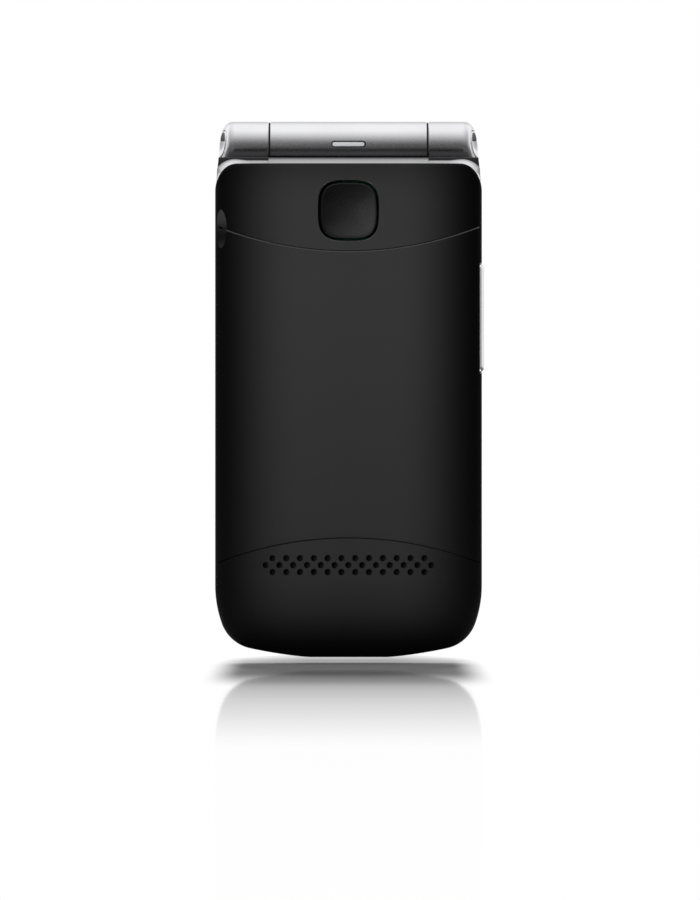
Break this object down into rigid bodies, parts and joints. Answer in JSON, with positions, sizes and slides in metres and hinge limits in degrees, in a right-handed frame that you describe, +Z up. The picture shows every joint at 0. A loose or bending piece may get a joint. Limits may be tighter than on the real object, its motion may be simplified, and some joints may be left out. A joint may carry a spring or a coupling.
{
  "type": "feature phone",
  "caption": "Closed clamshell feature phone with a hinged lid, a keypad inside, a lift-off battery cover, an emergency button on the back and a side volume rocker.",
  "frame": {"origin": "middle of the closed phone's box, on the surface that its lower end stands on", "axes": "+Z up along the phone to the hinge, +X to the side with the volume rocker, +Y from the back to the lid"},
  "size_m": [0.0524, 0.0192, 0.1046],
  "materials": {
    "black_shell": "soft matt",
    "silver_paint": "metallic paint",
    "chrome": "bright",
    "dark_panel": "satin",
    "silicone": "matt",
    "black_rubber": "matt",
    "gold_metal": "plated",
    "circuit_board": "satin",
    "battery_wrap": "wrapped",
    "steel": "plain",
    "bush_plastic": "plain",
    "black_cloth": "woven",
    "flex_film": "film",
    "smoked_glass": "clear gloss",
    "display_glass": "gloss",
    "light_pipe": "milky",
    "function_key": "satin",
    "call_green": "satin",
    "end_red": "satin",
    "digit_key": "satin"
  },
  "bodies": {
    "base": {"rear_housing": "black_shell", "base_frame": "silver_paint", "keypad_fascia": "dark_panel", "keypad_membrane": "silicone", "dome_sheet": "gold_metal", "main_board": "circuit_board", "battery": "battery_wrap", "battery_contacts": "gold_metal", "sim_holder": "steel", "shield_can": "steel", "loudspeaker": "dark_panel", "speaker_mesh": "black_cloth", "microphone": "steel", "vibration_motor": "steel", "charging_socket": "steel", "antenna": "bush_plastic", "housing_screws": "steel", "sos_switch": "dark_panel", "volume_switches": "dark_panel", "hinge_cap_left": "chrome", "hinge_cap_right": "chrome", "hinge_shaft": "steel", "hinge_pin": "steel", "hinge_flex": "flex_film"},
    "lid": {"flip_frame": "silver_paint", "flip_cover": "black_shell", "flip_fascia": "dark_panel", "display_lens": "smoked_glass", "main_display": "display_glass", "outer_lens": "smoked_glass", "outer_display": "display_glass", "display_board": "circuit_board", "earpiece": "steel", "earpiece_mesh": "black_cloth", "flip_bumpers": "black_rubber", "flip_screws": "steel", "indicator_light": "light_pipe", "hinge_unit": "steel", "hinge_bush": "bush_plastic", "magnet": "steel"},
    "battery_cover": {"battery_cover": "black_shell"},
    "sos_button": {"sos_button": "black_shell"},
    "volume_rocker": {"volume_rocker": "silver_paint"},
    "navigation_rocker": {"navigation_rocker": "function_key"},
    "key_1": {"key_1": "digit_key"},
    "key_2": {"key_2": "digit_key"},
    "key_3": {"key_3": "digit_key"},
    "key_4": {"key_4": "digit_key"},
    "key_5": {"key_5": "digit_key"},
    "key_6": {"key_6": "digit_key"},
    "key_7": {"key_7": "digit_key"},
    "key_8": {"key_8": "digit_key"},
    "key_9": {"key_9": "digit_key"},
    "key_star": {"key_star": "digit_key"},
    "key_0": {"key_0": "digit_key"},
    "key_hash": {"key_hash": "digit_key"},
    "call_key": {"call_key": "call_green"},
    "end_key": {"end_key": "end_red"},
    "soft_key_left": {"soft_key_left": "function_key"},
    "soft_key_right": {"soft_key_right": "function_key"}
  },
  "joints": [
    {"name": "flip_hinge", "type": "hinge", "parent": "base", "child": "lid", "pos_m": [0, 0.00248, 0.10035], "axis": [1, 0, 0], "range_deg": [0, 160], "deforming": ["hinge_flex"]},
    {"name": "battery_cover_lift", "type": "slide", "parent": "base", "child": "battery_cover", "axis": [0, -1, 0], "range_m": [0, 0.015]},
    {"name": "sos_press", "type": "slide", "parent": "base", "child": "sos_button", "axis": [0, 1, 0], "range_m": [0, 0.0005], "stiffness_N_per_m": 800},
    {"name": "volume_tilt", "type": "hinge", "parent": "base", "child": "volume_rocker", "pos_m": [0.0232, -0.00357, 0.0661], "axis": [0, 1, 0], "range_deg": [-2, 2], "stiffness_Nm_per_rad": 0.15},
    {"name": "navigation_tilt", "type": "hinge", "parent": "base", "child": "navigation_rocker", "pos_m": [0, 0.00066, 0.0644], "axis": [1, 0, 0], "range_deg": [-1.5, 1.5], "stiffness_Nm_per_rad": 0.15},
    {"name": "key_1_press", "type": "slide", "parent": "base", "child": "key_1", "axis": [0, -1, 0], "range_m": [0, 0.0004], "stiffness_N_per_m": 800},
    {"name": "key_2_press", "type": "slide", "parent": "base", "child": "key_2", "axis": [0, -1, 0], "range_m": [0, 0.0004], "stiffness_N_per_m": 800},
    {"name": "key_3_press", "type": "slide", "parent": "base", "child": "key_3", "axis": [0, -1, 0], "range_m": [0, 0.0004], "stiffness_N_per_m": 800},
    {"name": "key_4_press", "type": "slide", "parent": "base", "child": "key_4", "axis": [0, -1, 0], "range_m": [0, 0.0004], "stiffness_N_per_m": 800},
    {"name": "key_5_press", "type": "slide", "parent": "base", "child": "key_5", "axis": [0, -1, 0], "range_m": [0, 0.0004], "stiffness_N_per_m": 800},
    {"name": "key_6_press", "type": "slide", "parent": "base", "child": "key_6", "axis": [0, -1, 0], "range_m": [0, 0.0004], "stiffness_N_per_m": 800},
    {"name": "key_7_press", "type": "slide", "parent": "base", "child": "key_7", "axis": [0, -1, 0], "range_m": [0, 0.0004], "stiffness_N_per_m": 800},
    {"name": "key_8_press", "type": "slide", "parent": "base", "child": "key_8", "axis": [0, -1, 0], "range_m": [0, 0.0004], "stiffness_N_per_m": 800},
    {"name": "key_9_press", "type": "slide", "parent": "base", "child": "key_9", "axis": [0, -1, 0], "range_m": [0, 0.0004], "stiffness_N_per_m": 800},
    {"name": "key_star_press", "type": "slide", "parent": "base", "child": "key_star", "axis": [0, -1, 0], "range_m": [0, 0.0004], "stiffness_N_per_m": 800},
    {"name": "key_0_press", "type": "slide", "parent": "base", "child": "key_0", "axis": [0, -1, 0], "range_m": [0, 0.0004], "stiffness_N_per_m": 800},
    {"name": "key_hash_press", "type": "slide", "parent": "base", "child": "key_hash", "axis": [0, -1, 0], "range_m": [0, 0.0004], "stiffness_N_per_m": 800},
    {"name": "call_key_press", "type": "slide", "parent": "base", "child": "call_key", "axis": [0, -1, 0], "range_m": [0, 0.0004], "stiffness_N_per_m": 800},
    {"name": "end_key_press", "type": "slide", "parent": "base", "child": "end_key", "axis": [0, -1, 0], "range_m": [0, 0.0004], "stiffness_N_per_m": 800},
    {"name": "soft_key_left_press", "type": "slide", "parent": "base", "child": "soft_key_left", "axis": [0, -1, 0], "range_m": [0, 0.0004], "stiffness_N_per_m": 800},
    {"name": "soft_key_right_press", "type": "slide", "parent": "base", "child": "soft_key_right", "axis": [0, -1, 0], "range_m": [0, 0.0004], "stiffness_N_per_m": 800}
  ]
}
